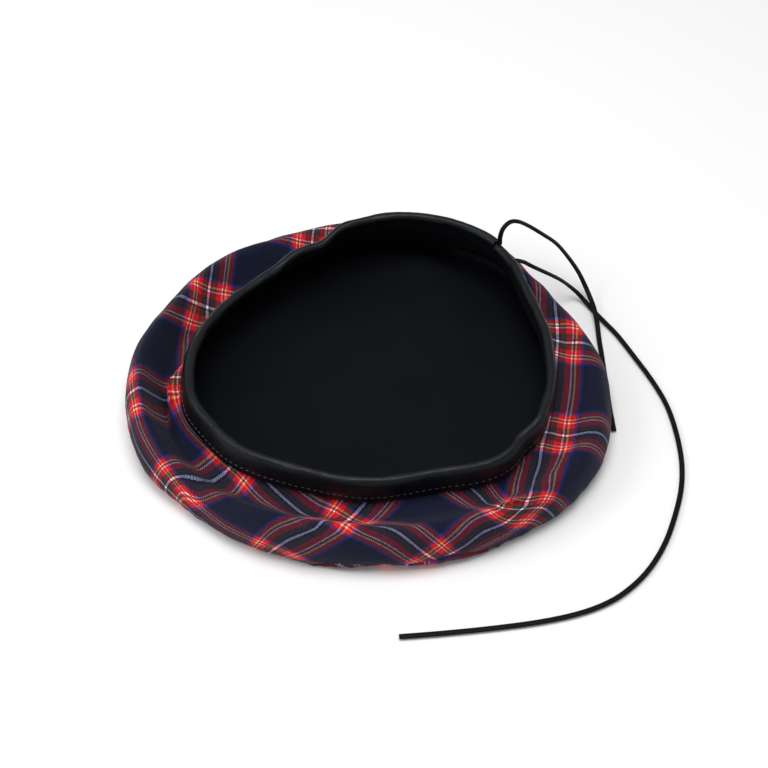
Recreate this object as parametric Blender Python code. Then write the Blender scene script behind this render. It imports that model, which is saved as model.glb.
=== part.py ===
"""Tam o' shanter of tartan cloth, lying upside down on its crown with its mouth up.

The crown circle lies flat on the surface. Three cloth panels make the puffed rim and slope up to
the leather headband, which is folded over the mouth. A black lining covers the inside, and the
two tails of the drawcord come out of the headband at the back right.

Metres, +Z up, +X to the hat's right, +Y to its back, origin on the surface under the middle.
Azimuths are degrees round +Z, counted from +X towards +Y.
"""
import math
from collections import namedtuple

import bpy
from mathutils import Vector

# Walls and clearances
CLOTH = 0.0012
LINING = 0.0010
LEATHER = 0.0012
GAP = 0.0003

# Rim: half the width at its widest, the puffed roll's height and reach, and the crown seam inside it
RIM_RADIUS = 0.1395
ROLL_HEIGHT = 0.0290
ROLL_WIDTH = 0.0105
SEAM_INSET = 0.0105
VALLEY_DEPTH = 0.0090
FOLD_DEPTH = 0.0040

# Headband: crest radius and height, the leg outside and the shorter leg inside, and its slant
MOUTH_RADIUS = 0.1050
BAND_TOP = 0.0480
BAND_OUTER = 0.0175
BAND_INNER = 0.0140
LEAN_WIDTH = 0.0080
DENT_DEPTH = 0.0030
EDGE_TUCK = 0.0050

# Opening of the headband at the drawcord, bridged by a lower tab of the same leather
TAB_START = 35.0
TAB_END = 45.0
TAB_DROP = 0.0030

# Drawcord
CORD_WIDTH = 0.0030
CORD_SPACING = 0.0070

# How finely the walls are divided
AZIMUTH_STEP = 5.0
CREST_STEPS = 5

# The hat from above and from the side, a row every 22.5 degrees. The columns are shares of
# RIM_RADIUS, MOUTH_RADIUS, BAND_TOP, LEAN_WIDTH, ROLL_HEIGHT and VALLEY_DEPTH.
Section = namedtuple("Section", "azimuth rim mouth top lean roll valley")
SECTIONS = (
    Section(0.0, 1.00, 0.98, 0.96, 0.2, 0.93, 0.30),
    Section(22.5, 0.92, 0.96, 0.98, 0.1, 0.91, 0.35),
    Section(45.0, 0.94, 1.03, 1.00, 0.4, 0.85, 0.50),
    Section(67.5, 0.93, 1.00, 1.00, 0.4, 0.77, 0.70),
    Section(90.0, 0.92, 0.92, 0.97, 0.8, 0.72, 0.94),
    Section(112.5, 0.90, 0.81, 0.88, 1.0, 0.72, 1.20),
    Section(135.0, 0.93, 0.78, 0.81, 1.2, 0.83, 1.40),
    Section(157.5, 0.94, 0.83, 0.83, 1.2, 0.97, 1.53),
    Section(180.0, 0.99, 0.92, 0.88, 0.8, 1.17, 1.55),
    Section(202.5, 1.01, 0.98, 0.86, 0.5, 1.18, 1.40),
    Section(225.0, 0.96, 0.95, 0.85, 0.3, 0.84, 1.00),
    Section(247.5, 0.94, 0.88, 0.81, 0.1, 1.14, 0.98),
    Section(270.0, 0.93, 0.87, 0.75, 0.0, 1.07, 0.77),
    Section(292.5, 0.95, 0.90, 0.80, 0.0, 1.00, 0.54),
    Section(315.0, 1.01, 1.02, 0.81, 0.1, 0.95, 0.32),
    Section(337.5, 1.04, 1.03, 0.91, 0.0, 0.93, 0.26),
)

# The roll in section, from the crown seam to its top. The out column is a share of SEAM_INSET
# below the widest point and of ROLL_WIDTH above it, and the up column is a share of ROLL_HEIGHT.
Station = namedtuple("Station", "out up")
ROLL_BELOW = (Station(1.00, 0.00), Station(0.52, 0.01), Station(0.14, 0.17), Station(0.00, 0.45))
ROLL_ABOVE = (Station(0.20, 0.77), Station(0.55, 0.95), Station(1.00, 1.00))

# The slope from the roll to the headband: how far along it lies, and the share of the valley
# and of the folds that it takes.
Slope = namedtuple("Slope", "along valley fold")
SLOPE = (Slope(0.25, 0.55, 0.6), Slope(0.50, 1.00, 1.0), Slope(0.78, 0.70, 0.8))

# Creases that run from the headband towards the rim, and the notch in the rim at the back right.
# Spread is in degrees, crease is a share of FOLD_DEPTH sunk into the slope, and notch a share of
# FOLD_DEPTH that the rim draws in.
Fold = namedtuple("Fold", "azimuth spread crease notch")
FOLDS = (
    Fold(38.0, 6.0, 0.3, 0.6),
    Fold(194.0, 9.0, 0.9, 0.1),
    Fold(232.0, 8.0, -0.4, 0.1),
    Fold(262.0, 10.0, 0.4, 0.2),
    Fold(311.0, 7.0, 0.9, 0.3),
)

# Dents in the crest of the headband. Spread is in degrees, push is a share of DENT_DEPTH inwards
# and drop a share of DENT_DEPTH downwards.
Dent = namedtuple("Dent", "azimuth spread push drop")
DENTS = (
    Dent(99.0, 4.0, -0.3, -0.2),
    Dent(108.0, 4.5, 0.6, 0.4),
    Dent(121.0, 5.0, -0.3, -0.3),
    Dent(212.0, 6.0, 0.5, 0.1),
    Dent(323.0, 4.0, 0.8, 0.5),
    Dent(331.0, 4.0, -0.4, -0.3),
)

# Seams between the three cloth panels
PANEL_SEAMS = {"front": (190.0, 310.0), "right": (310.0, 430.0), "left": (70.0, 190.0)}

# Routes of the two drawcord tails, in millimetres, from the headband to the free end
SHORT_TAIL = (
    (79, 75, 46.5), (79, 75.5, 52), (80.5, 77, 57.5), (84.5, 79.5, 60.5), (89.5, 81.5, 59), (96, 83, 54),
    (105, 84, 46), (114, 85, 37), (121.5, 84, 27), (128.5, 81, 17), (133, 76.5, 9.5),
    (136.5, 68, 5.6), (138, 60, 5.3), (139, 51, 3.8), (139.5, 40, 1.8), (140, 28, 1.7),
    (140.5, 14, 1.7), (141, 0, 1.7), (141.5, -15, 1.7), (142.5, -31, 1.7),
)
LONG_TAIL = (
    (88.9, 65.5, 42.5), (93.5, 67, 39.5), (98.5, 67.5, 35.5), (104, 68.5, 31), (110.5, 70, 25.5), (117, 72, 19),
    (123, 73.5, 12), (129, 72.5, 6), (134, 68, 2.6), (138.5, 61.5, 1.7), (144, 53, 1.7),
    (151, 42, 1.7), (160, 24, 1.7), (168, 7, 1.7), (174.5, -11, 1.7), (178, -31, 1.7),
    (179, -53, 1.7), (176.5, -73, 1.7), (170.5, -93, 1.7), (163.5, -110, 1.7), (154.5, -125, 1.7),
    (144, -137, 1.7), (131, -147, 1.7), (114, -154.5, 1.7), (92, -160, 1.7), (66, -164, 1.7),
    (40, -167, 1.7), (18, -169, 1.7),
)


def column(name, azimuth):
    """Value of a column of SECTIONS at any azimuth, on a smooth closed curve through its rows."""
    step = 360.0 / len(SECTIONS)
    place = (azimuth % 360.0) / step
    row = int(place)
    t = place - row
    a, b, c, d = (getattr(SECTIONS[(row + k) % len(SECTIONS)], name) for k in (-1, 0, 1, 2))
    return b + 0.5 * t * (c - a + t * (2 * a - 5 * b + 4 * c - d + t * (3 * (b - c) + d - a)))


def bump(azimuth, centre, spread):
    """A soft bump, 1 at its centre and gone two spreads away."""
    turn = (azimuth - centre + 180.0) % 360.0 - 180.0
    return math.exp(-(turn / spread) ** 2)


def fold_sum(azimuth, name):
    return sum(getattr(f, name) * bump(azimuth, f.azimuth, f.spread) for f in FOLDS) * FOLD_DEPTH


def dent_sum(azimuth, name):
    return sum(getattr(d, name) * bump(azimuth, d.azimuth, d.spread) for d in DENTS) * DENT_DEPTH


def rim_radius(azimuth):
    return RIM_RADIUS * column("rim", azimuth) - fold_sum(azimuth, "notch")


def seam_radius(azimuth):
    return rim_radius(azimuth) - SEAM_INSET


def crest(azimuth):
    """Radius and height of the top of the headband."""
    radius = MOUTH_RADIUS * column("mouth", azimuth) - dent_sum(azimuth, "push")
    height = BAND_TOP * column("top", azimuth) - dent_sum(azimuth, "drop")
    return Vector((radius, height))


def band_directions(azimuth):
    """Unit vectors up the headband and straight out of it, as radius and height."""
    up = Vector((-LEAN_WIDTH * column("lean", azimuth), BAND_OUTER)).normalized()
    out = Vector((up.y, -up.x))
    return up, out


def band_half():
    """Half the headband's thickness: the cloth and the lining lie between its two legs."""
    return LEATHER + GAP + (CLOTH + GAP + LINING) / 2


def cloth_profile(azimuth):
    """The cloth's outer side in section, from the crown seam to its edge inside the headband."""
    rim = rim_radius(azimuth)
    roll = ROLL_HEIGHT * column("roll", azimuth)
    points = [Vector((rim - s.out * SEAM_INSET, s.up * roll)) for s in ROLL_BELOW]
    points += [Vector((rim - s.out * ROLL_WIDTH, s.up * roll)) for s in ROLL_ABOVE]
    up, out = band_directions(azimuth)
    skin = crest(azimuth) + out * (band_half() - LEATHER - GAP)
    foot = skin - up * (BAND_OUTER + CLOTH)
    top = points[-1]
    valley = VALLEY_DEPTH * column("valley", azimuth)
    crease = fold_sum(azimuth, "crease")
    for s in SLOPE:
        sunk = Vector((0.0, -s.valley * valley - s.fold * crease))
        points.append(top.lerp(foot, s.along) + sunk)
    points.append(foot)
    points.append(skin - up * EDGE_TUCK)
    return points


def inward(points, distance):
    """A profile moved towards the inside of the hat by the same distance all along."""
    moved = []
    for i, point in enumerate(points):
        before = (points[i] - points[max(i - 1, 0)]).normalized()
        after = (points[min(i + 1, len(points) - 1)] - points[i]).normalized()
        if i == 0:
            before = after
        if i == len(points) - 1:
            after = before
        normal = Vector((-before.y - after.y, before.x + after.x)).normalized()
        side = Vector((-before.y, before.x))
        moved.append(point + normal * distance / max(normal.dot(side), 0.5))
    return moved


def in_space(profile, azimuth):
    """Section points set upright in the hat at an azimuth."""
    turn = math.radians(azimuth)
    return [Vector((p.x * math.cos(turn), p.x * math.sin(turn), p.y)) for p in profile]


def band_outline(azimuth, drop=0.0):
    """The headband's folded section: outer leg, round crest and inner leg, then back inside."""
    up, out = band_directions(azimuth)
    top = crest(azimuth) - up * drop
    half = band_half()
    spring = top - up * half
    arc = [math.pi * k / CREST_STEPS for k in range(CREST_STEPS + 1)]
    outer = [spring + out * half * math.cos(a) + up * half * math.sin(a) for a in arc]
    hollow = half - LEATHER
    inner = [spring + out * hollow * math.cos(a) + up * hollow * math.sin(a) for a in arc]
    outer_foot = top - up * (BAND_OUTER - drop)
    inner_foot = top - up * (BAND_INNER - drop)
    outline = [outer_foot + out * half] + outer + [inner_foot - out * half]
    outline += [inner_foot - out * hollow] + inner[::-1] + [outer_foot + out * hollow]
    return outline


def new_object(name, points, faces, material):
    mesh = bpy.data.meshes.new(name)
    mesh.from_pydata(points, [], faces)
    mesh.materials.append(material)
    mesh.validate()
    mesh.shade_smooth()
    mesh.set_sharp_from_angle(angle=math.radians(40))
    obj = bpy.data.objects.new(name, mesh)
    bpy.context.scene.collection.objects.link(obj)
    return obj


def swept(name, azimuths, outline, closed, material):
    """A closed solid swept round the hat from a section outline, with end faces if it is open.

    The outline's first half is its outer side and its second half the inner one. Both are cut
    into triangles along the same diagonals, so that layers keep their gap between the rows.
    """
    rows = [in_space(outline(a), a) for a in azimuths]
    count = len(rows[0])
    half = count // 2
    points = [p for row in rows for p in row]
    faces = []
    spans = len(rows) if closed else len(rows) - 1
    for i in range(spans):
        here = i * count
        there = (i + 1) % len(rows) * count
        for k in range(count):
            after = (k + 1) % count
            if k < half:
                faces.append((here + k, there + k, there + after))
                faces.append((here + k, there + after, here + after))
            else:
                faces.append((here + k, there + k, here + after))
                faces.append((there + k, there + after, here + after))
    if not closed:
        last = (len(rows) - 1) * count
        for k in range(half - 1):
            faces.append((k, k + 1, count - 2 - k, count - 1 - k))
            faces.append((last + k, last + count - 1 - k, last + count - 2 - k, last + k + 1))
    return new_object(name, points, faces, material)


def wall_outline(depth, thickness):
    """Outline of a cloth wall that follows the cloth's outer side at a depth under it."""
    def outline(azimuth):
        profile = cloth_profile(azimuth)
        outer = inward(profile, depth) if depth else profile
        return outer + inward(profile, depth + thickness)[::-1]
    return outline


def all_round():
    """Azimuths of the rows that every wall shares."""
    return [AZIMUTH_STEP * i for i in range(round(360.0 / AZIMUTH_STEP))]


def stretch(start, end):
    """The shared rows between two seams, and a row just short of each seam."""
    margin = math.degrees(GAP / seam_radius(start))
    first = math.floor(start / AZIMUTH_STEP) + 1
    last = math.ceil(end / AZIMUTH_STEP)
    return [start + margin] + [AZIMUTH_STEP * i for i in range(first, last)] + [end - margin]


def disc(name, bottom, thickness, material):
    """A flat circle of cloth inside the crown seam."""
    azimuths = all_round()
    points = [Vector((0.0, 0.0, bottom)), Vector((0.0, 0.0, bottom + thickness))]
    for azimuth in azimuths:
        edge = seam_radius(azimuth) - GAP
        points += in_space([Vector((edge, bottom)), Vector((edge, bottom + thickness))], azimuth)
    faces = []
    for i in range(len(azimuths)):
        low = 2 + 2 * i
        low_after = 2 + 2 * ((i + 1) % len(azimuths))
        faces.append((0, low_after, low))
        faces.append((1, low + 1, low_after + 1))
        faces.append((low, low_after, low_after + 1, low + 1))
    return new_object(name, points, faces, material)


def smooth_route(route, spacing):
    """Points at an even spacing on a smooth curve through a route given in millimetres."""
    knots = [Vector(p) * 0.001 for p in route]
    knots = [knots[0] * 2 - knots[1]] + knots + [knots[-1] * 2 - knots[-2]]
    fine = []
    for a, b, c, d in zip(knots, knots[1:], knots[2:], knots[3:]):
        for k in range(12):
            t = k / 12
            bend = t * (2 * a - 5 * b + 4 * c - d + t * (3 * (b - c) + d - a))
            fine.append(b + 0.5 * t * (c - a + bend))
    fine.append(knots[-2])
    lengths = [0.0]
    for p, q in zip(fine, fine[1:]):
        lengths.append(lengths[-1] + (q - p).length)
    steps = max(2, round(lengths[-1] / spacing))
    points = []
    k = 0
    for i in range(steps + 1):
        wanted = lengths[-1] * i / steps
        while k < len(fine) - 2 and lengths[k + 1] < wanted:
            k += 1
        share = (wanted - lengths[k]) / (lengths[k + 1] - lengths[k])
        points.append(fine[k].lerp(fine[k + 1], share))
    return points


def cord(name, route, material):
    """A drawcord tail as a plain round tube."""
    points = smooth_route(route, CORD_SPACING)
    curve = bpy.data.curves.new(name, "CURVE")
    curve.dimensions = "3D"
    curve.bevel_depth = CORD_WIDTH / 2
    curve.bevel_resolution = 2
    curve.use_fill_caps = True
    spline = curve.splines.new("POLY")
    spline.points.add(len(points) - 1)
    for spot, point in zip(spline.points, points):
        spot.co = (*point, 1.0)
    curve.materials.append(material)
    obj = bpy.data.objects.new(name, curve)
    bpy.context.scene.collection.objects.link(obj)
    return obj


def finish(name, colour, roughness):
    """A plain material of one colour."""
    material = bpy.data.materials.new(name)
    material.use_nodes = True
    shader = material.node_tree.nodes["Principled BSDF"]
    shader.inputs["Base Color"].default_value = (*colour, 1.0)
    shader.inputs["Roughness"].default_value = roughness
    shader.inputs["Metallic"].default_value = 0.0
    return material


def build_underside(material):
    """The three cloth panels between the crown seam and the headband."""
    for side, (start, end) in PANEL_SEAMS.items():
        swept("underside_" + side, stretch(start, end), wall_outline(0.0, CLOTH), False, material)


def build_lining(material):
    """The lining's flat circle and its side, just inside the cloth."""
    disc("lining_crown", CLOTH + GAP, LINING, material)
    swept("lining_side", all_round(), wall_outline(CLOTH + GAP, LINING), True, material)


def build_headband(material):
    """The headband round the mouth, and the tab in its opening."""
    swept("headband", stretch(TAB_END, TAB_START + 360.0), band_outline, False, material)
    tab = stretch(TAB_START, TAB_END)
    swept("headband_tab", tab, lambda a: band_outline(a, TAB_DROP), False, material)


def build():
    for old in list(bpy.data.objects):
        bpy.data.objects.remove(old, do_unlink=True)
    tartan = finish("tartan_cloth", (0.09, 0.02, 0.05), 0.9)
    lining = finish("black_lining", (0.007, 0.008, 0.010), 0.6)
    leather = finish("black_leather", (0.010, 0.010, 0.012), 0.45)
    disc("crown_top", 0.0, CLOTH, tartan)
    build_underside(tartan)
    build_lining(lining)
    build_headband(leather)
    cord("drawcord_short", SHORT_TAIL, leather)
    cord("drawcord_long", LONG_TAIL, leather)


build()
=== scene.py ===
"""Looks of a tartan tam o' shanter that lies upside down on its crown.

Three tartan panels, a black lining, a folded leather headband with its stitching and the two
tails of a flat leather drawcord, each cut as a flat pattern and then laid into shape round the
hat. Metres, +Z up. Azimuths are degrees round +Z, counted from +X towards +Y.
"""

import math
from collections import namedtuple

import bpy
import numpy as np
from mathutils import Matrix, Vector, noise


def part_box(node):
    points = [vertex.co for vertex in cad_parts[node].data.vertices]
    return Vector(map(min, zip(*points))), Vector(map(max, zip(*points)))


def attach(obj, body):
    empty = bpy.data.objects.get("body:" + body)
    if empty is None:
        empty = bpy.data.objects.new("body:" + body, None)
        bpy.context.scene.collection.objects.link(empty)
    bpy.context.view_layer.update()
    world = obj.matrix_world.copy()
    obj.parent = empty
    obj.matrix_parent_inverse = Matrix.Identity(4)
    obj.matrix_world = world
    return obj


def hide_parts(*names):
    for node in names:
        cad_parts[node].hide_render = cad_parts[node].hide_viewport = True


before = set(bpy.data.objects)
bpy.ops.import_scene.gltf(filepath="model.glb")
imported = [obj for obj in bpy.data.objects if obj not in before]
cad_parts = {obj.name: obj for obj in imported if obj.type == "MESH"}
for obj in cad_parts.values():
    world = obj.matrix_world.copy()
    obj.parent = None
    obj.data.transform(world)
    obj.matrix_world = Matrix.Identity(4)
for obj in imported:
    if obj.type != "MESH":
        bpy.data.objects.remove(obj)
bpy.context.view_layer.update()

# Walls
CLOTH = 0.0011
LINING = 0.0008
LEATHER = 0.0012
LAYER_GAP = 0.0003

# The hat's driving sizes, as in the frame
RIM_RADIUS = 0.1395
BAND_TOP = 0.0480
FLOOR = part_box("crown_top")[0][2]
ROLL_HEIGHT = 0.0290
ROLL_WIDTH = 0.0105
SEAM_INSET = 0.0105
VALLEY_DEPTH = 0.0090
FOLD_DEPTH = 0.0040
MOUTH_RADIUS = 0.1050
BAND_OUTER = 0.0175
BAND_INNER = 0.0140
LEAN_WIDTH = 0.0080
DENT_DEPTH = 0.0030
EDGE_TUCK = 0.0050
BAND_HALF = 0.00275

# Opening of the headband at the drawcord
TAB_START = 35.0
TAB_END = 45.0
TAB_DROP = 0.0030

# The hat from above and from the side, as in the frame: shares of RIM_RADIUS, MOUTH_RADIUS,
# BAND_TOP, LEAN_WIDTH, ROLL_HEIGHT and VALLEY_DEPTH, a row every 22.5 degrees.
Section = namedtuple("Section", "azimuth rim mouth top lean roll valley")
SECTIONS = (
    Section(0.0, 1.00, 0.98, 0.96, 0.2, 0.93, 0.30),
    Section(22.5, 0.92, 0.96, 0.98, 0.1, 0.91, 0.35),
    Section(45.0, 0.94, 1.03, 1.00, 0.4, 0.85, 0.50),
    Section(67.5, 0.93, 1.00, 1.00, 0.4, 0.77, 0.70),
    Section(90.0, 0.92, 0.92, 0.97, 0.8, 0.72, 0.94),
    Section(112.5, 0.90, 0.81, 0.88, 1.0, 0.72, 1.20),
    Section(135.0, 0.93, 0.78, 0.81, 1.2, 0.83, 1.40),
    Section(157.5, 0.94, 0.83, 0.83, 1.2, 0.97, 1.53),
    Section(180.0, 0.99, 0.92, 0.88, 0.8, 1.17, 1.55),
    Section(202.5, 1.01, 0.98, 0.86, 0.5, 1.18, 1.40),
    Section(225.0, 0.96, 0.95, 0.85, 0.3, 0.84, 1.00),
    Section(247.5, 0.94, 0.88, 0.81, 0.1, 1.14, 0.98),
    Section(270.0, 0.93, 0.87, 0.75, 0.0, 1.07, 0.77),
    Section(292.5, 0.95, 0.90, 0.80, 0.0, 1.00, 0.54),
    Section(315.0, 1.01, 1.02, 0.81, 0.1, 0.95, 0.32),
    Section(337.5, 1.04, 1.03, 0.91, 0.0, 0.93, 0.26),
)

# The roll in section: out is a share of SEAM_INSET below the widest point and of ROLL_WIDTH
# above it, up a share of ROLL_HEIGHT.
Station = namedtuple("Station", "out up")
ROLL_BELOW = (Station(1.00, 0.00), Station(0.52, 0.01), Station(0.14, 0.17), Station(0.00, 0.45))
ROLL_ABOVE = (Station(0.20, 0.77), Station(0.55, 0.95), Station(1.00, 1.00))

# The slope from the roll to the headband, and its share of the valley and the folds
Slope = namedtuple("Slope", "along valley fold")
SLOPE = (Slope(0.25, 0.55, 0.6), Slope(0.50, 1.00, 1.0), Slope(0.78, 0.70, 0.8))

# Creases across the slope, and how far they draw in the rim: shares of FOLD_DEPTH
Fold = namedtuple("Fold", "azimuth spread crease notch")
FOLDS = (
    Fold(38.0, 6.0, 0.3, 0.6),
    Fold(194.0, 9.0, 0.9, 0.1),
    Fold(232.0, 8.0, -0.4, 0.1),
    Fold(262.0, 10.0, 0.4, 0.2),
    Fold(311.0, 7.0, 0.9, 0.3),
)

# Dents in the crest of the headband: shares of DENT_DEPTH
Dent = namedtuple("Dent", "azimuth spread push drop")
DENTS = (
    Dent(99.0, 4.0, -0.3, -0.2),
    Dent(108.0, 4.5, 0.6, 0.4),
    Dent(121.0, 5.0, -0.3, -0.3),
    Dent(212.0, 6.0, 0.5, 0.1),
    Dent(323.0, 4.0, 0.8, 0.5),
    Dent(331.0, 4.0, -0.4, -0.3),
)

# Tucks of the loose cloth that only its looks have: how far it stands out and up, in metres, about
# a share of the way up the section, which slants round the hat by a share for each degree
Tuck = namedtuple("Tuck", "azimuth share spread reach slant out up")
TUCKS = (
    Tuck(190.0, 0.835, 8.0, 0.035, -0.0035, 0.0045, 0.0110),
    Tuck(192.0, 0.74, 9.0, 0.025, 0.0, 0.0, -0.0020),
    Tuck(262.0, 0.49, 11.0, 0.07, 0.0, 0.0, -0.0028),
    Tuck(273.0, 0.13, 8.0, 0.09, 0.0, -0.0035, 0.0006),
    Tuck(308.0, 0.50, 8.0, 0.030, -0.0113, -0.0008, -0.0022),
    Tuck(308.0, 0.42, 9.0, 0.045, -0.0113, 0.0010, 0.0018),
)

# The three panels, as the azimuths of their seams
PANELS = {
    "underside_front": (190.0, 310.0),
    "underside_right": (310.0, 430.0),
    "underside_left": (70.0, 190.0),
}

CONE = 0.68
FLAT_RADIUS = 0.1340
CLOTH_MIDDLE = 250.0
CHECK_TURN = -48.0
CHECK_ALONG = 0.0636
CHECK_ACROSS = -0.0722

# How far the cloth is pulled along and across its checks at some places, in the distance from
# a pale line to the gold line beside it. Between them the pulls blend smoothly, as sheets that
# are eased over PULL_EASE, with CLOTH_DEPTH for the length of a section.
Pull = namedtuple("Pull", "azimuth share along across")
PULLS = (
    Pull(1.8, 0.67, 0.70, 1.92), Pull(6.8, 0.60, 0.54, 1.95), Pull(8.9, 0.75, 0.35, 1.83),
    Pull(12.8, 0.46, 0.28, 1.69), Pull(15.3, 0.64, 0.21, 1.59), Pull(107.6, 0.58, -0.43, 0.32),
    Pull(112.9, 0.59, -0.46, 0.16), Pull(141.2, 0.68, -0.36, -0.29), Pull(145.7, 0.62, -0.49, -0.33),
    Pull(148.1, 0.51, -0.22, -0.41), Pull(150.5, 0.69, -0.57, -0.35), Pull(153.7, 0.62, -0.58, -0.49),
    Pull(154.9, 0.42, 0.02, -0.53), Pull(160.4, 0.66, -0.84, -0.30), Pull(164.0, 0.51, -0.67, -0.48),
    Pull(184.1, 0.69, -0.77, -0.73), Pull(184.2, 0.66, -0.68, -0.77), Pull(185.5, 0.89, -0.42, -0.53),
    Pull(185.8, 0.44, -0.45, -0.98), Pull(189.9, 0.63, -0.53, -0.77), Pull(191.7, 0.86, -0.23, -0.50),
    Pull(191.8, 0.59, -0.72, -0.77), Pull(192.3, 0.47, -0.63, -0.87), Pull(196.9, 0.46, -0.46, -0.69),
    Pull(199.7, 0.58, -1.05, -0.46), Pull(213.2, 0.41, 0.39, -0.03), Pull(214.3, 0.82, 0.37, 0.54),
    Pull(216.3, 0.62, -0.08, 0.38), Pull(217.3, 0.89, -0.08, 0.78), Pull(217.7, 0.40, 0.54, 0.04),
    Pull(221.2, 0.37, 0.83, 0.22), Pull(221.2, 0.72, 0.14, 0.74), Pull(224.0, 0.88, -0.16, 1.04),
    Pull(224.1, 0.47, -0.62, 0.44), Pull(228.1, 0.47, -0.34, 0.48), Pull(230.2, 0.83, -0.19, 1.11),
    Pull(230.9, 0.55, -0.74, 0.64), Pull(233.7, 0.78, -0.36, 1.07), Pull(243.3, 0.83, -0.31, 0.64),
    Pull(248.5, 0.28, 0.34, -0.73), Pull(253.5, 0.24, 0.29, -0.95), Pull(255.1, 0.59, -0.58, 0.41),
    Pull(259.5, 0.86, 0.09, 0.11), Pull(262.0, 0.68, -0.02, 0.00), Pull(265.7, 0.51, -0.47, -0.16),
    Pull(271.6, 0.69, -0.25, 0.03), Pull(277.5, 0.51, -0.29, -0.54), Pull(284.4, 0.30, -0.22, -0.57),
    Pull(288.5, 0.35, -0.31, -0.52), Pull(293.6, 0.29, -0.36, -0.26), Pull(298.7, 0.38, -0.23, 0.30),
    Pull(304.5, 0.52, -1.05, 1.26), Pull(305.6, 0.77, -0.56, 0.40), Pull(308.9, 0.65, -0.54, 1.20),
    Pull(309.5, 0.93, -0.31, 0.46), Pull(310.7, 0.32, -0.60, -0.35), Pull(311.2, 0.26, -0.54, -0.24),
    Pull(311.8, 0.45, -0.87, 1.15), Pull(312.2, 0.47, -0.84, 0.94), Pull(314.1, 0.36, -0.56, -0.08),
    Pull(317.2, 0.39, -0.51, 0.28), Pull(318.5, 0.69, 0.03, 1.08), Pull(319.0, 0.47, -0.19, 0.60),
    Pull(319.1, 0.85, -0.06, 1.15), Pull(319.2, 0.32, -0.31, 0.07), Pull(328.7, 0.85, 0.53, 1.61),
    Pull(331.0, 0.67, 0.39, 1.38), Pull(335.2, 0.70, 0.59, 1.64), Pull(339.1, 0.38, 0.53, 1.01),
    Pull(340.0, 0.73, 0.75, 1.82), Pull(343.3, 0.43, 0.64, 1.23), Pull(359.9, 0.52, 0.70, 2.06),
)
PULL_EASE = 0.008
PULL_SLACK = 0.002
CLOTH_DEPTH = 0.065

# Camera: the photograph's angle and size of view
VIEW_ELEVATION = 50.0
CAMERA_PLACE = (0.0101, -0.6515, 0.7829)
CAMERA_LENS = 81.2

# Routes of the drawcord tails, in millimetres, as in the frame
SHORT_TAIL = (
    (79, 75, 46.5), (79, 75.5, 52), (80.5, 77, 57.5), (84.5, 79.5, 60.5), (89.5, 81.5, 59),
    (96, 83, 54), (105, 84, 46), (114, 85, 37), (121.5, 84, 27), (128.5, 81, 17), (133, 76.5, 9.5),
    (136.5, 68, 5.6), (138, 60, 5.3), (139, 51, 3.8), (139.5, 40, 1.8), (140, 28, 1.7),
    (140.5, 14, 1.7), (141, 0, 1.7), (141.5, -15, 1.7), (142.5, -31, 1.7),
)
LONG_TAIL = (
    (88.9, 65.5, 42.5), (93.5, 67, 39.5), (98.5, 67.5, 35.5), (104, 68.5, 31), (110.5, 70, 25.5),
    (117, 72, 19), (123, 73.5, 12), (129, 72.5, 6), (134, 68, 2.6), (138.5, 61.5, 1.7),
    (144, 53, 1.7), (151, 42, 1.7), (160, 24, 1.7), (168, 7, 1.7), (174.5, -11, 1.7),
    (178, -31, 1.7), (179, -53, 1.7), (176.5, -73, 1.7), (170.5, -93, 1.7), (163.5, -110, 1.7),
    (154.5, -125, 1.7), (144, -137, 1.7), (131, -147, 1.7), (114, -154.5, 1.7), (92, -160, 1.7),
    (66, -164, 1.7), (40, -167, 1.7), (18, -169, 1.7),
)
CORD_WIDTH = 0.0030
CORD_THICKNESS = 0.0017


def curve_through(a, b, c, d, t):
    """A smooth step from b to c, with a before them and d after."""
    return b + 0.5 * t * (c - a + t * (2 * a - 5 * b + 4 * c - d + t * (3 * (b - c) + d - a)))


def column(name, azimuth):
    """Value of a column of SECTIONS at any azimuth."""
    place = (azimuth % 360.0) * len(SECTIONS) / 360.0
    row = int(place)
    near = (getattr(SECTIONS[(row + k) % len(SECTIONS)], name) for k in (-1, 0, 1, 2))
    return curve_through(*near, place - row)


def bump(azimuth, centre, spread):
    turn = (azimuth - centre + 180.0) % 360.0 - 180.0
    return math.exp(-(turn / spread) ** 2)


def fold_sum(azimuth, name):
    return sum(getattr(f, name) * bump(azimuth, f.azimuth, f.spread) for f in FOLDS) * FOLD_DEPTH


def dent_sum(azimuth, name):
    return sum(getattr(d, name) * bump(azimuth, d.azimuth, d.spread) for d in DENTS) * DENT_DEPTH


def rim_radius(azimuth):
    return RIM_RADIUS * column("rim", azimuth) - fold_sum(azimuth, "notch")


def crest(azimuth):
    """Radius and height of the top of the headband."""
    radius = MOUTH_RADIUS * column("mouth", azimuth) - dent_sum(azimuth, "push")
    height = BAND_TOP * column("top", azimuth) - dent_sum(azimuth, "drop")
    return Vector((radius, height))


def band_directions(azimuth):
    """Unit vectors up the headband and straight out of it, as radius and height."""
    up = Vector((-LEAN_WIDTH * column("lean", azimuth), BAND_OUTER)).normalized()
    return up, Vector((up.y, -up.x))


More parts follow.
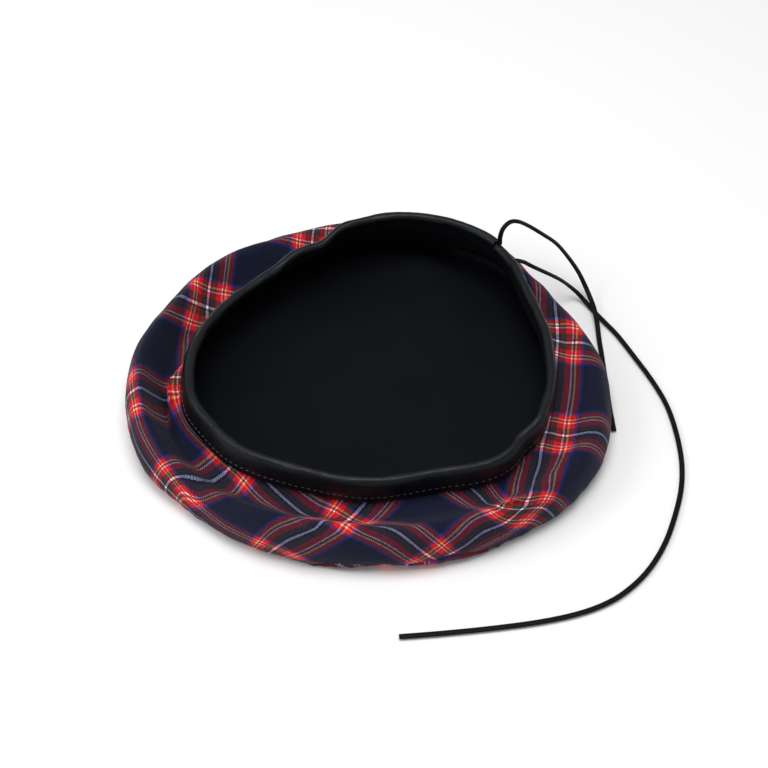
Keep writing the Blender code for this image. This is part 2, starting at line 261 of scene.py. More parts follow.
def cloth_stations(azimuth):
    """The cloth's outer side in section, from the crown seam to its edge in the headband."""
    rim = rim_radius(azimuth)
    roll = ROLL_HEIGHT * column("roll", azimuth)
    points = [Vector((rim - s.out * SEAM_INSET, s.up * roll)) for s in ROLL_BELOW]
    points += [Vector((rim - s.out * ROLL_WIDTH, s.up * roll)) for s in ROLL_ABOVE]
    up, out = band_directions(azimuth)
    skin = crest(azimuth) + out * (CLOTH + LAYER_GAP / 2)
    foot = skin - up * (BAND_OUTER + CLOTH)
    top = points[-1]
    valley = VALLEY_DEPTH * column("valley", azimuth)
    crease = fold_sum(azimuth, "crease")
    for s in SLOPE:
        points.append(top.lerp(foot, s.along) - Vector((0.0, s.valley * valley + s.fold * crease)))
    return points + [foot, skin - up * EDGE_TUCK]


def along(points, share):
    """Point and outward normal at a share of the way along a section."""
    place = min(max(share, 0.0), 1.0) * (len(points) - 1)
    i = min(int(place), len(points) - 2)
    a, b, c, d = (points[min(max(i + k, 0), len(points) - 1)] for k in (-1, 0, 1, 2))
    t = place - i
    here = curve_through(a, b, c, d, t)
    step = 0.02
    ahead = curve_through(a, b, c, d, t + step) - curve_through(a, b, c, d, t - step)
    return here, Vector((ahead.y, -ahead.x)).normalized()


def tucked(stations, azimuth, share):
    """Point of the cloth at a share of its section, with its tucks."""
    point = along(stations, share)[0]
    for t in TUCKS:
        turn = (azimuth - t.azimuth + 180.0) % 360.0 - 180.0
        off = (share - t.share - t.slant * turn) / t.reach
        point += Vector((t.out, t.up)) * bump(azimuth, t.azimuth, t.spread) * math.exp(-off * off)
    return point


def cloth_section(azimuth, share):
    """Point and outward normal of the tucked cloth at a share of its section."""
    stations = cloth_stations(azimuth)
    ahead = tucked(stations, azimuth, share + 0.004) - tucked(stations, azimuth, share - 0.004)
    return tucked(stations, azimuth, share), Vector((ahead.y, -ahead.x)).normalized()


def in_space(point, azimuth):
    turn = math.radians(azimuth)
    return Vector((point.x * math.cos(turn), point.x * math.sin(turn), point.y))


def ease(x):
    """0 below 0, 1 above 1, and smooth between."""
    x = min(max(x, 0.0), 1.0)
    return x * x * (3 - 2 * x)


def ripple(azimuth, share, turns, rows, seed):
    """Soft noise round the hat, between -1 and 1, with a number of waves round and along."""
    turn = math.radians(azimuth)
    spread = turns / math.tau
    return noise.noise(Vector((spread * math.cos(turn), spread * math.sin(turn), share * rows + seed)))


# Flat patterns, cut with the modelling tools
def deselect_all():
    for thing in bpy.context.selected_objects:
        thing.select_set(False)


def only(piece):
    deselect_all()
    piece.select_set(True)
    bpy.context.view_layer.objects.active = piece


def flat_ring(name, rings, columns, cuts, width=0.5, closed=False):
    """A flat ring of cloth, as a circle extruded inwards ring by ring and subdivided between."""
    deselect_all()
    bpy.ops.mesh.primitive_circle_add(vertices=columns, radius=1.0, fill_type="NOTHING")
    piece = bpy.context.object
    piece.name = name
    piece.data.name = name
    bpy.ops.object.mode_set(mode="EDIT")
    bpy.ops.mesh.select_all(action="SELECT")
    for k in range(rings):
        inwards = (1.0 - width * (k + 1) / rings) / (1.0 - width * k / rings)
        bpy.ops.mesh.extrude_edges_move()
        bpy.ops.transform.resize(value=(inwards, inwards, 1.0), center_override=(0.0, 0.0, 0.0))
    if closed:
        bpy.ops.mesh.edge_face_add()
    bpy.ops.object.mode_set(mode="OBJECT")
    if cuts:
        select_edges(piece, lambda p, q: abs(p.xy.length - q.xy.length) > width / rings / 2)
        bpy.ops.object.mode_set(mode="EDIT")
        bpy.ops.mesh.subdivide(number_cuts=cuts)
        bpy.ops.object.mode_set(mode="OBJECT")
    face_up(piece)
    return piece


def select_edges(piece, wanted):
    mesh = piece.data
    for part in (mesh.vertices, mesh.edges, mesh.polygons):
        for item in part:
            item.select = False
    for edge in mesh.edges:
        p, q = (mesh.vertices[i].co for i in edge.vertices)
        edge.select = wanted(p, q)


def face_up(piece):
    """Turns the flat pattern's outer side up."""
    if piece.data.polygons[0].normal.z > 0:
        return
    only(piece)
    bpy.ops.object.mode_set(mode="EDIT")
    bpy.ops.mesh.select_all(action="SELECT")
    bpy.ops.mesh.flip_normals()
    bpy.ops.object.mode_set(mode="OBJECT")


def cut_sector(piece, start, end):
    """Cuts away the pattern outside two azimuths."""
    only(piece)
    mesh = piece.data
    for part in (mesh.vertices, mesh.edges):
        for item in part:
            item.select = False
    for face in mesh.polygons:
        azimuth = math.degrees(math.atan2(face.center.y, face.center.x))
        face.select = (azimuth - start) % 360.0 > end - start
    bpy.ops.object.mode_set(mode="EDIT")
    bpy.ops.mesh.select_mode(type="FACE")
    bpy.ops.mesh.delete(type="FACE")
    bpy.ops.object.mode_set(mode="OBJECT")


def lay(piece, shape, width=0.5):
    """Lays a flat pattern into shape, and keeps each point's azimuth and share along it."""
    places = []
    for vertex in piece.data.vertices:
        azimuth = math.degrees(math.atan2(vertex.co.y, vertex.co.x)) % 360.0
        share = (1.0 - vertex.co.xy.length) / width
        places.append((azimuth, share))
        vertex.co = shape(azimuth, share)
    piece.data.update()
    return places


def map_cloth(piece, places, spread):
    """Writes the piece's UV map from each point's place on the flat cloth, in metres."""
    layer = piece.data.uv_layers.new(name="cloth")
    flat = [spread(azimuth, share) for azimuth, share in places]
    for loop in piece.data.loops:
        layer.data[loop.index].uv = flat[loop.vertex_index]


def apply_modifier(piece, kind, **settings):
    only(piece)
    modifier = piece.modifiers.new(kind.lower(), kind)
    for key, value in settings.items():
        setattr(modifier, key, value)
    bpy.ops.object.modifier_apply(modifier=modifier.name)


def give_thickness(piece, thickness):
    """A wall on the inner side of a sheet, with closed edges."""
    apply_modifier(piece, "SOLIDIFY", thickness=thickness, offset=-1.0)


def finish_piece(piece, material, slot, *nodes):
    piece.data.materials.clear()
    piece.data.materials.append(material)
    only(piece)
    bpy.ops.object.shade_smooth_by_angle(angle=math.radians(50))
    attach(piece, "root")
    if nodes:
        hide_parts(*nodes)
    return piece


# Materials
def new_material(name, colour, roughness):
    material = bpy.data.materials.new(name)
    material.use_nodes = True
    shader = material.node_tree.nodes["Principled BSDF"]
    shader.inputs["Base Color"].default_value = (*colour, 1.0)
    shader.inputs["Roughness"].default_value = roughness
    return material, material.node_tree, shader


def add(tree, kind, **settings):
    node = tree.nodes.new(kind)
    for key, value in settings.items():
        setattr(node, key, value)
    return node


def maths(tree, operation, first, second=None):
    """A Math node on sockets or plain numbers."""
    node = add(tree, "ShaderNodeMath", operation=operation)
    for socket, value in zip(node.inputs, (first, second)):
        if value is None:
            continue
        if isinstance(value, (int, float)):
            socket.default_value = value
        else:
            tree.links.new(value, socket)
    return node.outputs[0]


# The checks, from the middle of the pale line to the middle of the navy block, in units of the
# distance from that line to the gold line beside it
Stripe = namedtuple("Stripe", "start colour")
PALE = (0.80, 0.86, 1.00)
NAVY = (0.0068, 0.0092, 0.0260)
MAROON = (0.120, 0.012, 0.020)
GREEN = (0.030, 0.031, 0.024)
RED = (0.620, 0.011, 0.018)
WHITE = (0.90, 0.78, 0.86)
WINE = (0.250, 0.018, 0.020)
GOLD = (0.92, 0.51, 0.20)
BLUE = (0.020, 0.026, 0.240)
STRIPES = (
    Stripe(0.00, PALE), Stripe(0.06, NAVY), Stripe(0.17, MAROON), Stripe(0.22, GREEN),
    Stripe(0.46, RED), Stripe(0.77, WHITE), Stripe(0.835, WINE), Stripe(0.95, GOLD),
    Stripe(1.045, RED), Stripe(1.27, BLUE), Stripe(1.41, NAVY),
)
HALF_REPEAT = 2.92
CHECK_UNIT = 0.01156
THREAD = 0.00038


def stripe_colour(tree, place):
    """Colour of the thread at a place across the stripes."""
    half = HALF_REPEAT * CHECK_UNIT
    folded = maths(tree, "PINGPONG", place, half)
    share = maths(tree, "DIVIDE", folded, half)
    ramp = add(tree, "ShaderNodeValToRGB")
    ramp.color_ramp.interpolation = "CONSTANT"
    stops = ramp.color_ramp.elements
    for k, stripe in enumerate(STRIPES):
        stop = stops[k] if k < 2 else stops.new(stripe.start / HALF_REPEAT)
        stop.position = stripe.start / HALF_REPEAT
        stop.color = (*stripe.colour, 1.0)
    tree.links.new(share, ramp.inputs[0])
    return ramp.outputs["Color"]


def cloth_noise(tree, cloth, scale, offset):
    """Noise on the flat cloth, with its own scale along and across."""
    spread = add(tree, "ShaderNodeMapping")
    spread.inputs["Location"].default_value = (offset, offset, offset)
    spread.inputs["Scale"].default_value = scale
    tree.links.new(cloth, spread.inputs["Vector"])
    grain = add(tree, "ShaderNodeTexNoise")
    grain.inputs["Scale"].default_value = 1.0
    grain.inputs["Detail"].default_value = 1.0
    tree.links.new(spread.outputs[0], grain.inputs["Vector"])
    return grain.outputs[0]


def drifted(tree, cloth, place, offset):
    """A place across the stripes, with threads that wander a little."""
    wander = maths(tree, "SUBTRACT", cloth_noise(tree, cloth, (700.0, 700.0, 1.0), offset), 0.5)
    return maths(tree, "ADD", place, maths(tree, "MULTIPLY", wander, 0.0008))


def spun(tree, colour, cloth, scale):
    """Thread colour, brighter and darker along uneven yarn."""
    shade = add(tree, "ShaderNodeMapRange")
    shade.inputs["From Min"].default_value = 0.3
    shade.inputs["From Max"].default_value = 0.7
    shade.inputs["To Min"].default_value = 0.6
    shade.inputs["To Max"].default_value = 1.35
    tree.links.new(cloth_noise(tree, cloth, scale, 7.0), shade.inputs["Value"])
    tint = add(tree, "ShaderNodeMix", data_type="RGBA", blend_type="MULTIPLY")
    tint.inputs["Factor"].default_value = 1.0
    tree.links.new(colour, tint.inputs["A"])
    tree.links.new(shade.outputs[0], tint.inputs["B"])
    return tint.outputs["Result"]


def make_tartan():
    """Twill woven in checks, read from each panel's own map of the flat cloth."""
    material, tree, shader = new_material("tartan twill", (0.1, 0.03, 0.06), 0.85)
    shader.inputs["Sheen Weight"].default_value = 0.04
    shader.inputs["Sheen Roughness"].default_value = 0.5
    shader.inputs["Specular IOR Level"].default_value = 0.12
    cloth = add(tree, "ShaderNodeUVMap", uv_map="cloth").outputs[0]
    split = add(tree, "ShaderNodeSeparateXYZ")
    tree.links.new(cloth, split.inputs[0])
    u, v = split.outputs[0], split.outputs[1]
    warp = spun(tree, stripe_colour(tree, drifted(tree, cloth, u, 0.0)), cloth, (2600.0, 260.0, 1.0))
    weft = spun(tree, stripe_colour(tree, drifted(tree, cloth, v, 3.0)), cloth, (260.0, 2600.0, 1.0))
    column_of = maths(tree, "FLOOR", maths(tree, "DIVIDE", u, THREAD))
    row_of = maths(tree, "FLOOR", maths(tree, "DIVIDE", v, THREAD))
    step = maths(tree, "DIVIDE", maths(tree, "ADD", column_of, row_of), 4.0)
    over = maths(tree, "LESS_THAN", maths(tree, "FRACT", step), 0.5)
    twill = add(tree, "ShaderNodeMix", data_type="RGBA")
    tree.links.new(over, twill.inputs["Factor"])
    tree.links.new(weft, twill.inputs["A"])
    tree.links.new(warp, twill.inputs["B"])
    both = add(tree, "ShaderNodeMix", data_type="RGBA", blend_type="MULTIPLY")
    both.inputs["Factor"].default_value = 1.0
    tree.links.new(warp, both.inputs["A"])
    tree.links.new(weft, both.inputs["B"])
    deep = add(tree, "ShaderNodeGamma")
    deep.inputs["Gamma"].default_value = 0.5
    tree.links.new(both.outputs["Result"], deep.inputs["Color"])
    weave = add(tree, "ShaderNodeMix", data_type="RGBA")
    weave.inputs["Factor"].default_value = 0.15
    tree.links.new(deep.outputs[0], weave.inputs["A"])
    tree.links.new(twill.outputs["Result"], weave.inputs["B"])
    fuzz = add(tree, "ShaderNodeTexNoise")
    fuzz.inputs["Scale"].default_value = 900.0
    fuzz.inputs["Detail"].default_value = 2.0
    tree.links.new(add(tree, "ShaderNodeTexCoord").outputs["Object"], fuzz.inputs["Vector"])
    shade = add(tree, "ShaderNodeMapRange")
    shade.inputs["From Min"].default_value = 0.3
    shade.inputs["From Max"].default_value = 0.7
    shade.inputs["To Min"].default_value = 0.82
    shade.inputs["To Max"].default_value = 1.15
    tree.links.new(fuzz.outputs[0], shade.inputs["Value"])
    tint = add(tree, "ShaderNodeMix", data_type="RGBA", blend_type="MULTIPLY")
    tint.inputs["Factor"].default_value = 1.0
    tree.links.new(weave.outputs["Result"], tint.inputs["A"])
    tree.links.new(shade.outputs[0], tint.inputs["B"])
    tree.links.new(tint.outputs["Result"], shader.inputs["Base Color"])
    ridge_u = maths(tree, "SINE", maths(tree, "MULTIPLY", u, math.pi / THREAD))
    ridge_v = maths(tree, "SINE", maths(tree, "MULTIPLY", v, math.pi / THREAD))
    thread = add(tree, "ShaderNodeMix", data_type="FLOAT")
    tree.links.new(over, thread.inputs["Factor"])
    tree.links.new(maths(tree, "ABSOLUTE", ridge_v), thread.inputs["A"])
    tree.links.new(maths(tree, "ABSOLUTE", ridge_u), thread.inputs["B"])
    relief = add(tree, "ShaderNodeBump")
    relief.inputs["Strength"].default_value = 0.5
    relief.inputs["Distance"].default_value = 0.00008
    tree.links.new(thread.outputs["Result"], relief.inputs["Height"])
    tree.links.new(relief.outputs[0], shader.inputs["Normal"])
    return material


def make_leather(name, roughness, shine, grain, depth):
    """Soft black leather with a fine grain and faint creases."""
    material, tree, shader = new_material(name, (0.0030, 0.0032, 0.0040), roughness)
    shader.inputs["Specular IOR Level"].default_value = shine
    shader.inputs["Specular Tint"].default_value = (0.82, 0.91, 1.0, 1.0)
    place = add(tree, "ShaderNodeTexCoord").outputs["Object"]
    cells = add(tree, "ShaderNodeTexVoronoi", feature="DISTANCE_TO_EDGE")
    cells.inputs["Scale"].default_value = grain
    tree.links.new(place, cells.inputs["Vector"])
    creases = add(tree, "ShaderNodeTexNoise")
    creases.inputs["Scale"].default_value = grain / 6
    creases.inputs["Detail"].default_value = 5.0
    tree.links.new(place, creases.inputs["Vector"])
    height = maths(tree, "ADD", maths(tree, "MULTIPLY", cells.outputs["Distance"], 0.6),
                   maths(tree, "MULTIPLY", creases.outputs[0], 1.2))
    relief = add(tree, "ShaderNodeBump")
    relief.inputs["Strength"].default_value = 0.6
    relief.inputs["Distance"].default_value = depth
    tree.links.new(height, relief.inputs["Height"])
    tree.links.new(relief.outputs[0], shader.inputs["Normal"])
    wear = add(tree, "ShaderNodeMapRange")
    wear.inputs["From Min"].default_value = 0.35
    wear.inputs["From Max"].default_value = 0.65
    wear.inputs["To Min"].default_value = roughness - 0.07
    wear.inputs["To Max"].default_value = roughness + 0.07
    tree.links.new(creases.outputs[0], wear.inputs["Value"])
    tree.links.new(wear.outputs[0], shader.inputs["Roughness"])
    return material


def make_satin():
    """Thin black satin."""
    material, tree, shader = new_material("lining satin", (0.0046, 0.0050, 0.0068), 0.5)
    shader.inputs["Specular IOR Level"].default_value = 0.05
    shader.inputs["Specular Tint"].default_value = (0.80, 0.90, 1.0, 1.0)
    place = add(tree, "ShaderNodeTexCoord").outputs["Object"]
    threads = add(tree, "ShaderNodeTexWave", wave_type="BANDS", bands_direction="DIAGONAL")
    threads.inputs["Scale"].default_value = 1100.0
    threads.inputs["Distortion"].default_value = 0.6
    tree.links.new(place, threads.inputs["Vector"])
    relief = add(tree, "ShaderNodeBump")
    relief.inputs["Strength"].default_value = 0.25
    relief.inputs["Distance"].default_value = 0.00004
    tree.links.new(threads.outputs[1], relief.inputs["Height"])
    tree.links.new(relief.outputs[0], shader.inputs["Normal"])
    cloud = add(tree, "ShaderNodeTexNoise")
    cloud.inputs["Scale"].default_value = 25.0
    tree.links.new(place, cloud.inputs["Vector"])
    wear = add(tree, "ShaderNodeMapRange")
    wear.inputs["To Min"].default_value = 0.42
    wear.inputs["To Max"].default_value = 0.58
    tree.links.new(cloud.outputs[0], wear.inputs["Value"])
    tree.links.new(wear.outputs[0], shader.inputs["Roughness"])
    return material


def make_thread():
    material, tree, shader = new_material("grey thread", (0.060, 0.062, 0.066), 0.5)
    place = add(tree, "ShaderNodeTexCoord").outputs["Object"]
    twist = add(tree, "ShaderNodeTexNoise")
    twist.inputs["Scale"].default_value = 4000.0
    tree.links.new(place, twist.inputs["Vector"])
    relief = add(tree, "ShaderNodeBump")
    relief.inputs["Strength"].default_value = 0.5
    relief.inputs["Distance"].default_value = 0.00005
    tree.links.new(twist.outputs[0], relief.inputs["Height"])
    tree.links.new(relief.outputs[0], shader.inputs["Normal"])
    return material


# Pieces
def crumple(azimuth, share):
    """How far the cloth stands off its smooth shape: lumps, ripples at the crown seam."""
    free = ease(share / 0.12) * ease((0.86 - share) / 0.2)
    lumps = 0.0012 * ripple(azimuth, share, 26, 4, 3.0) + 0.0005 * ripple(azimuth, share, 60, 7, 9.0)
    puckers = 0.0005 * ripple(azimuth, 0.0, 190, 1, 5.0) * ease((0.36 - share) / 0.2)
    return free * lumps + ease(share / 0.04) * puckers


def cloth_point(azimuth, share):
    point, normal = cloth_section(azimuth, share)
    spot = in_space(point + normal * crumple(azimuth, share), azimuth)
    spot.z = max(spot.z, FLOOR)
    return spot


def cloth_length(azimuth, share):
    """Length of cloth from the widest line of the roll, inwards over the slope."""
    stations = cloth_stations(azimuth)
    widest = (len(ROLL_BELOW) - 1) / (len(stations) - 1)
    steps = 12
    length = 0.0
    before = along(stations, widest)[0]
    for k in range(1, steps + 1):
        here = along(stations, widest + (share - widest) * k / steps)[0]
        length += (here - before).length
        before = here
    return math.copysign(length, share - widest)


def pull_place(azimuth, share):
    return Vector((*in_space(Vector((RIM_RADIUS, 0.0)), azimuth).xy, share * CLOTH_DEPTH))


def pull_ease(a, b):
    return math.sqrt((a - b).length_squared + PULL_EASE ** 2)


def solve_pulls():
    """Weight of each pull's own sheet, such that together they pass through all the pulls."""
    places = [pull_place(p.azimuth, p.share) for p in PULLS]
    count = len(PULLS)
    sheets = np.ones((count + 1, count + 1))
    sheets[:count, :count] = [[pull_ease(a, b) for b in places] for a in places]
    sheets[range(count), range(count)] -= PULL_SLACK
    sheets[count, count] = 0.0
    wanted = [(p.along, p.across) for p in PULLS] + [(0.0, 0.0)]
    return places, np.linalg.solve(sheets, np.array(wanted))


PULL_PLACES, PULL_WEIGHTS = solve_pulls()


def pulled(azimuth, share):
    """How far the cloth is pulled along and across its checks at a place, in metres."""
    spot = pull_place(azimuth, share)
    sheets = [pull_ease(spot, place) for place in PULL_PLACES] + [1.0]
    return Vector((np.array(sheets) @ PULL_WEIGHTS).tolist()) * CHECK_UNIT


def cloth_place(azimuth, share):
    """Where a point of the underside lies in the checks, in metres along and across."""
    reach = FLAT_RADIUS / CONE - cloth_length(azimuth, share)
    turn = math.radians(((azimuth - CLOTH_MIDDLE + 180.0) % 360.0 - 180.0) * CONE)
    x = reach * math.cos(turn) - FLAT_RADIUS / CONE + FLAT_RADIUS
    y = reach * math.sin(turn)
    turn = math.radians(CLOTH_MIDDLE - CHECK_TURN)
    u = x * math.cos(turn) - y * math.sin(turn) - CHECK_ALONG
    v = x * math.sin(turn) + y * math.cos(turn) - CHECK_ACROSS
    return Vector((u, v)) + pulled(azimuth, share)


def make_panels(material):
    for name, (start, end) in PANELS.items():
        piece = flat_ring(name + "_cloth", 11, 360, 5)
        cut_sector(piece, start, end)
        places = lay(piece, cloth_point)
        map_cloth(piece, places, cloth_place)
        give_thickness(piece, CLOTH)
        finish_piece(piece, material, "tartan", name)


# The crown's edge, which shows at the front: its azimuths, its foot and top as shares of the way up
# the section, how much of its cloth shows, and where its checks lie
CROWN_EDGE = (252.0, 308.0)
EDGE_FOOT = 0.05
EDGE_TOP = 0.17
EDGE_SPREAD = 0.0065
EDGE_SHIFT = 0.1105


def make_crown(material):
    """The tartan circle that lies on the surface."""
    piece = flat_ring("crown_cloth", 4, 144, 0, width=0.96, closed=True)
    place = lay(piece, lambda azimuth, share: crown_point(azimuth, share, CLOTH), width=0.96)
    map_cloth(piece, place, lambda azimuth, share: crown_point(azimuth, share, 0.0).xy)
    give_thickness(piece, CLOTH)
    finish_piece(piece, material, "tartan", "crown_top")


def crown_point(azimuth, share, height):
    reach = (rim_radius(azimuth) - SEAM_INSET - LAYER_GAP) * (1.0 - 0.96 * share)
    return in_space(Vector((reach, height)), azimuth)


def make_crown_edge(material):
    """The crown's cloth where it turns up past its seam at the front, puckered by the stitches."""
    start, end = CROWN_EDGE
    middle = (start + end) / 2

    def edge_point(azimuth, share):
        fade = ease((azimuth - start) / 14.0) * ease((end - azimuth) / 14.0)
        pucker = 0.5 + 0.5 * ripple(azimuth, 0.0, 64, 1, 21.0)
        height = EDGE_TOP * (0.3 + 0.7 * fade) * (0.82 + 0.18 * pucker)
        height += 0.03 * bump(azimuth, 288.0, 8.0)
        point, normal = cloth_section(azimuth, EDGE_FOOT + height * (1.0 - share))
        clear = 0.0003 + 0.0007 * pucker * ease(share / 0.25) * fade
        clear -= 0.0013 * ease((0.05 - share) / 0.05) + 0.0010 * ease((share - 0.85) / 0.15)
        spot = in_space(point + normal * (crumple(azimuth, 0.1) + clear), azimuth)
        spot.z = max(spot.z, CLOTH)
        return spot

    def edge_place(azimuth, share):
        reach = rim_radius(azimuth) - SEAM_INSET + EDGE_SPREAD * (1.0 - share)
        turn = math.radians(azimuth - middle)
        return Vector((reach * math.sin(turn), EDGE_SHIFT - reach * math.cos(turn)))

    piece = flat_ring("crown_edge", 12, 1080, 0)
    cut_sector(piece, start, end)
    places = lay(piece, edge_point)
    map_cloth(piece, places, edge_place)
    give_thickness(piece, CLOTH / 2)
    finish_piece(piece, material, "tartan")


def make_lining(material):
    """The lining's side under the cloth, and its floor with a few soft folds."""
    depth = CLOTH + LAYER_GAP

    def side_point(azimuth, share):
        point, normal = cloth_section(azimuth, share)
        slack = 0.0010 * (0.5 + 0.5 * ripple(azimuth, share, 22, 3, 17.0)) * ease((share - 0.5) / 0.2)
        slack *= ease((0.93 - share) / 0.05)
        return in_space(point + normal * (crumple(azimuth, share) - depth - slack), azimuth)

    def floor_point(azimuth, share):
        spot = crown_point(azimuth, share, CLOTH + LAYER_GAP + LINING)
        folds = 0.0022 + 0.0050 * noise.noise(Vector((spot.x * 14, spot.y * 9, 4.0)))
        folds += 0.0012 * noise.noise(Vector((spot.x * 45, spot.y * 30, 8.0)))
        spot.z += max(folds, 0.0) * ease(share / 0.12)
        return spot

    side = flat_ring("lining_side_cloth", 11, 288, 3)
    lay(side, side_point)
    give_thickness(side, LINING)
    finish_piece(side, material, "lining", "lining_side")
    floor = flat_ring("lining_floor_cloth", 40, 240, 0, width=0.96, closed=True)
    lay(floor, floor_point, width=0.96)
    give_thickness(floor, LINING)
    finish_piece(floor, material, "lining", "lining_crown")


def band_stations(azimuth, drop=0.0):
    """The headband's outer side in section: outer leg, round crest and inner leg."""
    up, out = band_directions(azimuth)
    top = crest(azimuth) - up * drop
    spring = top - up * BAND_HALF
    outer_foot = top - up * (BAND_OUTER - drop) + out * BAND_HALF
    inner_foot = top - up * (BAND_INNER - drop) - out * BAND_HALF
    points = [outer_foot, outer_foot.lerp(spring + out * BAND_HALF, 0.33),
              outer_foot.lerp(spring + out * BAND_HALF, 0.66)]
    for k in range(7):
        turn = math.pi * k / 6
        points.append(spring + (out * math.cos(turn) + up * math.sin(turn)) * BAND_HALF)
    points += [(spring - out * BAND_HALF).lerp(inner_foot, 0.5), inner_foot]
    return points


STITCH_SHARE = 0.075
STITCH_PITCH = 0.0035


def band_puff(azimuth, share):
    """How far the leather stands off: full between its edges, pinched along the stitching."""
    full = 0.0007 * math.sin(math.pi * min(share / 0.3, 1.0))
    pinch = -0.0005 * math.exp(-((share - STITCH_SHARE) / 0.03) ** 2)
    turns = math.tau * MOUTH_RADIUS / STITCH_PITCH
    pucker = 0.00025 * ripple(azimuth, 0.0, turns, 1, 2.0) * math.exp(-((share - 0.11) / 0.06) ** 2)
    creases = 0.0004 * ripple(azimuth, share, 50, 4, 31.0) + 0.0001 * ripple(azimuth, share, 160, 9, 37.0)
    return full + pinch + pucker + creases * ease(share / 0.1) * ease((1.0 - share) / 0.05)


def band_point(azimuth, share, drop=0.0):
    point, normal = along(band_stations(azimuth, drop), share)
    return in_space(point + normal * band_puff(azimuth, share), azimuth)


def make_headband(material):
    band = flat_ring("headband_leather", 11, 720, 3)
    cut_sector(band, TAB_END, TAB_START + 360.0)
    lay(band, band_point)
    give_thickness(band, LEATHER)
    finish_piece(band, material, "leather", "headband")
    tab = flat_ring("tab_leather", 11, 720, 3)
    cut_sector(tab, TAB_START + 0.2, TAB_END - 0.2)
    lay(tab, lambda azimuth, share: band_point(azimuth, share, TAB_DROP))
    give_thickness(tab, LEATHER)
    finish_piece(tab, material, "leather", "headband_tab")


def make_stitches(material):
    """A row of stitches along the lower edge of the headband, modelled once and copied."""
    deselect_all()
    bpy.ops.mesh.primitive_uv_sphere_add(segments=8, ring_count=6, radius=1.0)
    stitch = bpy.context.object
    bpy.ops.transform.resize(value=(0.00032, 0.0012, 0.00032), center_override=(0.0, 0.0, 0.0))
    bpy.ops.object.transform_apply(location=True, rotation=True, scale=True)
    stitches = []
    azimuth = TAB_END + 1.0
    while azimuth < TAB_START + 359.0:
        point, normal = along(band_stations(azimuth), STITCH_SHARE)
        spot = in_space(point + normal * (band_puff(azimuth, STITCH_SHARE) + 0.00005), azimuth)
        ahead = band_point(azimuth + 0.3, STITCH_SHARE)
        side = (ahead - band_point(azimuth - 0.3, STITCH_SHARE)).normalized()
        out = in_space(normal, azimuth)
        across = side.cross(out).normalized()
        copy = stitch.copy()
        copy.data = stitch.data.copy()
        bpy.context.scene.collection.objects.link(copy)
        turn = Matrix((across, side, out)).transposed().to_4x4()
        copy.matrix_world = Matrix.Translation(spot) @ turn
        stitches.append(copy)
        azimuth += math.degrees(STITCH_PITCH / spot.xy.length)
    bpy.data.objects.remove(stitch, do_unlink=True)
    deselect_all()
    for copy in stitches:
        copy.select_set(True)
    bpy.context.view_layer.objects.active = stitches[0]
    bpy.ops.object.join()
    row = bpy.context.object
    row.name = "band_stitches"
    bpy.ops.object.transform_apply(location=True, rotation=True, scale=True)
    finish_piece(row, material, "leather")


# Cords
def smooth_route(route, spacing):
    """Points at an even spacing on a smooth curve through a route given in millimetres."""
    knots = [Vector(p) * 0.001 for p in route]
    knots = [knots[0] * 2 - knots[1]] + knots + [knots[-1] * 2 - knots[-2]]
    fine = []
    for a, b, c, d in zip(knots, knots[1:], knots[2:], knots[3:]):
        fine += [curve_through(a, b, c, d, k / 12) for k in range(12)]
    fine.append(knots[-2])
    lengths = [0.0]
    for p, q in zip(fine, fine[1:]):
        lengths.append(lengths[-1] + (q - p).length)
    steps = max(2, round(lengths[-1] / spacing))
    points = []
    k = 0
    for i in range(steps + 1):
        wanted = lengths[-1] * i / steps
        while k < len(fine) - 2 and lengths[k + 1] < wanted:
            k += 1
        share = (wanted - lengths[k]) / (lengths[k + 1] - lengths[k])
        points.append(fine[k].lerp(fine[k + 1], share))
    return points, lengths[-1]


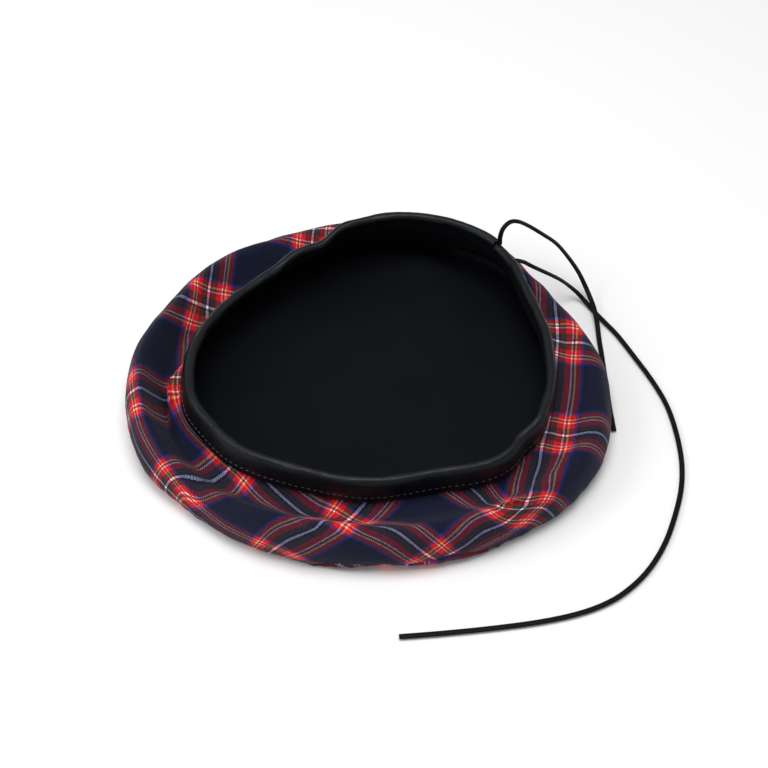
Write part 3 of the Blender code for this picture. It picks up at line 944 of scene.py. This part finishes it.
def make_cord(name, route, node, material):
    """A flat leather lace, laid with its flat side down."""
    points, length = smooth_route(route, 0.0015)
    curve = bpy.data.curves.new(name, "CURVE")
    curve.dimensions = "3D"
    curve.twist_mode = "Z_UP"
    curve.bevel_depth = CORD_THICKNESS / 2
    curve.bevel_resolution = 3
    curve.extrude = (CORD_WIDTH - CORD_THICKNESS) / 2
    curve.use_fill_caps = True
    spline = curve.splines.new("POLY")
    spline.points.add(len(points) - 1)
    for spot, point in zip(spline.points, points):
        spot.co = (*point, 1.0)
        spot.tilt = math.pi / 2
    spline.use_smooth = True
    piece = bpy.data.objects.new(name, curve)
    bpy.context.scene.collection.objects.link(piece)
    curve.materials.append(material)
    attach(piece, "root")
    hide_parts(node)
    return piece


# Stage
def make_camera():
    data = bpy.data.cameras.new("camera")
    data.lens = CAMERA_LENS
    camera = bpy.data.objects.new("camera", data)
    camera.location = CAMERA_PLACE
    camera.rotation_euler = (math.radians(90.0 - VIEW_ELEVATION), 0.0, 0.0)
    bpy.context.scene.collection.objects.link(camera)
    bpy.context.scene.camera = camera


def make_floor():
    deselect_all()
    bpy.ops.mesh.primitive_plane_add(size=12.0, location=(0.0, 0.0, FLOOR - 0.0002))
    floor = bpy.context.object
    floor.name = "floor"
    material, _, shader = new_material("white paper", (0.93, 0.93, 0.93), 0.9)
    shader.inputs["Specular IOR Level"].default_value = 0.1
    floor.data.materials.append(material)


def add_light(name, place, size, power):
    """A soft square light that faces the hat."""
    data = bpy.data.lights.new(name, "AREA")
    data.size = size
    data.energy = power
    light = bpy.data.objects.new(name, data)
    light.location = place
    light.rotation_euler = (-Vector(place)).to_track_quat("-Z", "Y").to_euler()
    bpy.context.scene.collection.objects.link(light)


def make_lights():
    world = bpy.data.worlds.new("studio")
    bpy.context.scene.world = world
    world.use_nodes = True
    background = world.node_tree.nodes["Background"]
    background.inputs[0].default_value = (1.0, 1.0, 1.0, 1.0)
    background.inputs[1].default_value = 0.45
    add_light("overhead", (0.0, -0.1, 1.4), 0.8, 12.0)
    add_light("left", (-1.0, -0.2, 0.9), 0.6, 5.0)
    view = bpy.context.scene.view_settings
    view.view_transform = "Standard"
    view.look = "None"


make_camera()
leather = make_leather("band leather", 0.46, 0.28, 900.0, 0.00012)
lace = make_leather("lace leather", 0.5, 0.12, 1500.0, 0.0001)
make_cord("cord_short", SHORT_TAIL, "drawcord_short", lace)
make_cord("cord_long", LONG_TAIL, "drawcord_long", lace)
tartan = make_tartan()
make_panels(tartan)
make_crown(tartan)
make_crown_edge(tartan)
make_lining(make_satin())
make_headband(leather)
make_stitches(make_thread())
make_floor()
make_lights()
